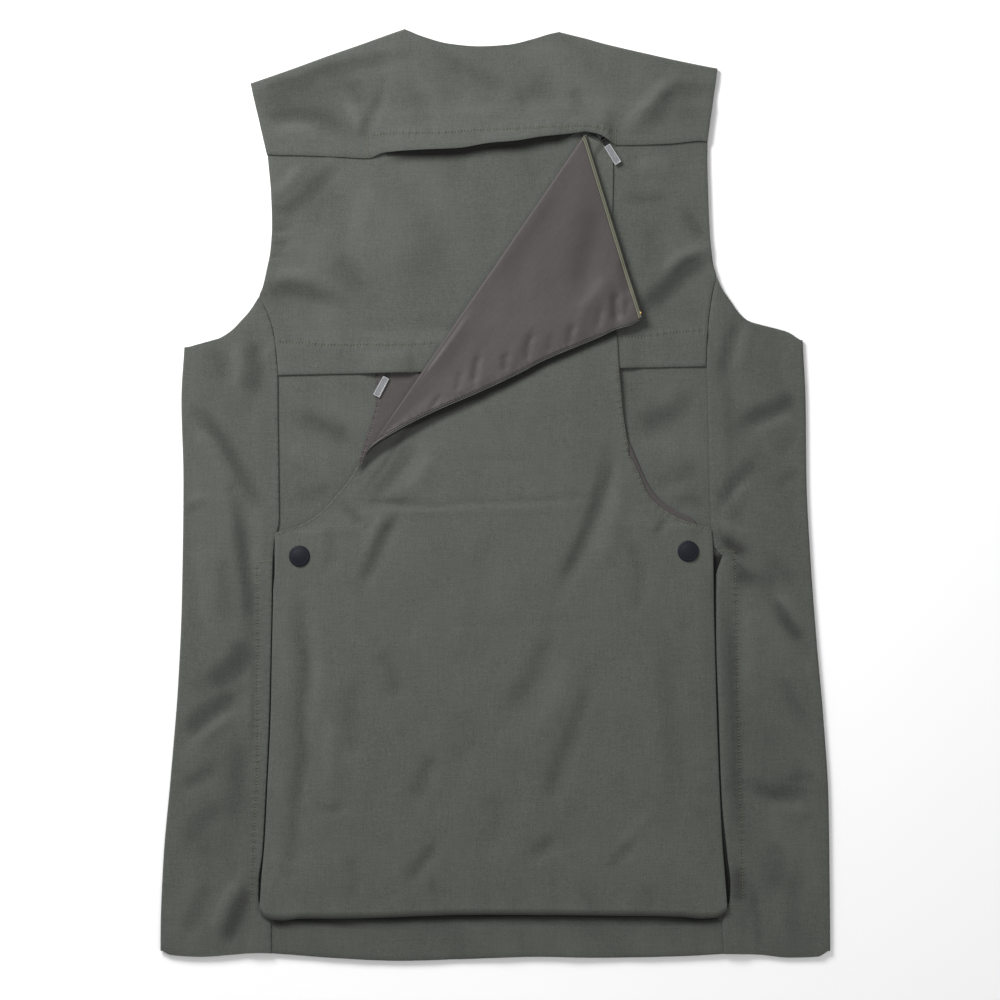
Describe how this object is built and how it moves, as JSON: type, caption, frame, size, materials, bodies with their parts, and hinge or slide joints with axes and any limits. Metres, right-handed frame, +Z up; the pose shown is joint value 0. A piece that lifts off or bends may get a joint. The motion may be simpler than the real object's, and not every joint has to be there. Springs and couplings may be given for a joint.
{
  "type": "shooting vest",
  "caption": "Sleeveless olive vest laid flat, back up, with a yoke and a large unzipped game bag whose corner is folded over to show brown lining.",
  "frame": {"origin": "middle of the vest's outline, on the floor that it lies on", "axes": "+Z up out of the vest's back, +Y towards the neck, +X towards the wearer's right side"},
  "size_m": [0.5634, 0.7829, 0.0185],
  "materials": {
    "shell_cloth": "matt olive grey cotton twill",
    "bag_cloth": "matt olive grey cotton twill, a little darker",
    "lining_cloth": "proofed brown nylon, faint sheen",
    "tape_olive": "woven zip tape, olive",
    "tape_dark": "woven zip tape with coil teeth, dark",
    "pull_metal": "satin nickel",
    "snap_metal": "dark navy lacquer, satin"
  },
  "bodies": {
    "vest": {"back_yoke": "shell_cloth", "back_upper": "shell_cloth", "back_lower": "shell_cloth", "side_left": "shell_cloth", "side_right": "shell_cloth", "front_left": "shell_cloth", "front_right": "shell_cloth", "bag_front": "bag_cloth", "bag_back_lining": "lining_cloth", "flap_lining": "lining_cloth", "zip_tape_flap": "tape_olive", "zip_tape_back": "tape_dark", "zip_tape_yoke": "tape_dark", "zip_slider_upper": "pull_metal", "zip_slider_lower": "pull_metal", "snap_left": "snap_metal", "snap_right": "snap_metal"},
    "pull_upper": {"zip_pull_upper": "pull_metal"},
    "pull_lower": {"zip_pull_lower": "pull_metal"}
  },
  "joints": [
    {"name": "upper_pull", "type": "hinge", "parent": "vest", "child": "pull_upper", "pos_m": [0.0909, 0.2974, 0.0074], "axis": [-0.848, -0.5299, 0], "range_deg": [0, 90]},
    {"name": "lower_pull", "type": "hinge", "parent": "vest", "child": "pull_lower", "pos_m": [-0.089, 0.103, 0.0074], "axis": [-0.8821, 0.471, 0], "range_deg": [0, 12]}
  ]
}
